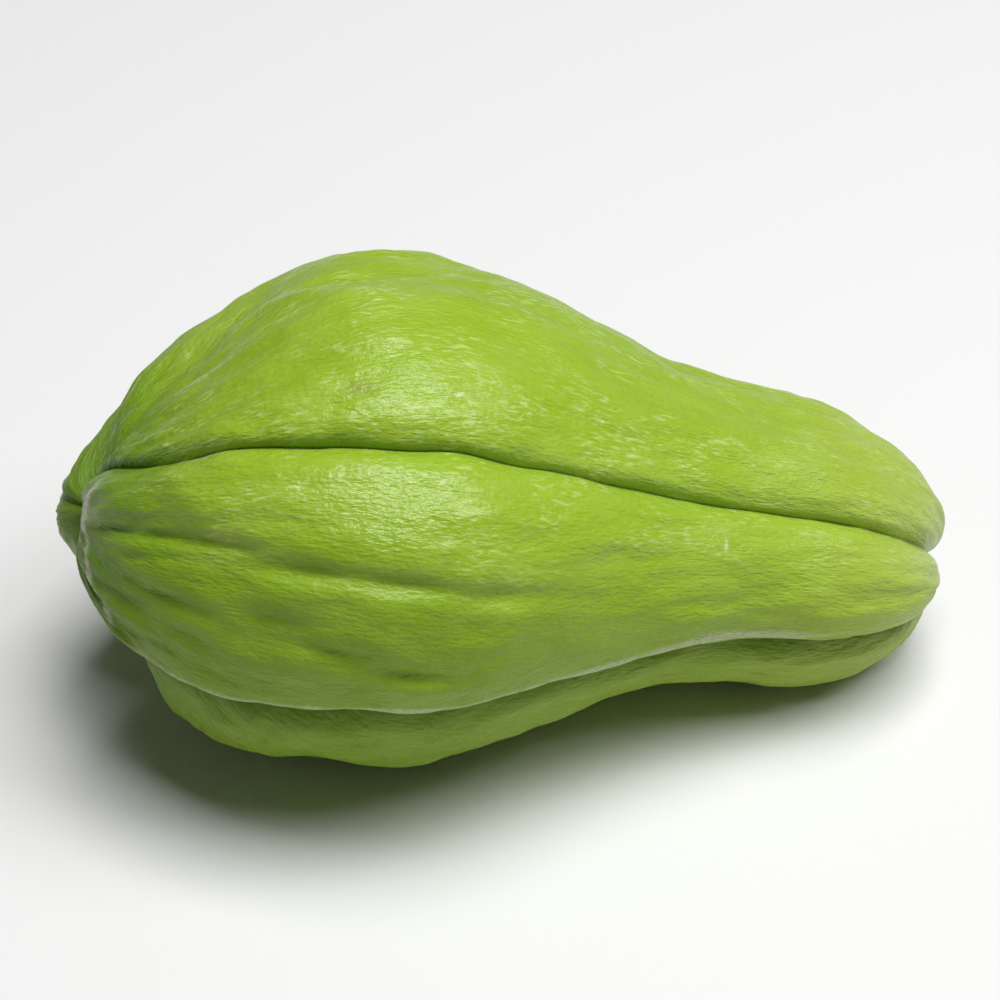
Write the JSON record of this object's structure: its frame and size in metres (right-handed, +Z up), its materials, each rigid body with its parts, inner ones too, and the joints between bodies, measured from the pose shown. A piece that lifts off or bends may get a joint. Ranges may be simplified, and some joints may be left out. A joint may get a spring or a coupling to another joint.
{
  "type": "chayote",
  "caption": "Whole pear-shaped chayote with deep lengthwise furrows, a folded blossom end and waxy light green skin, lying on its side.",
  "frame": {"origin": "centre of the bounding box's base, on the surface that the fruit rests on", "axes": "+X towards the stem end, along the fruit's length; +Z up; -Y is the front, where three of the lobes show"},
  "size_m": [0.1414, 0.0826, 0.0764],
  "materials": {
    "chayote_skin": "satin"
  },
  "bodies": {
    "root": {"chayote": "chayote_skin"}
  },
  "joints": []
}
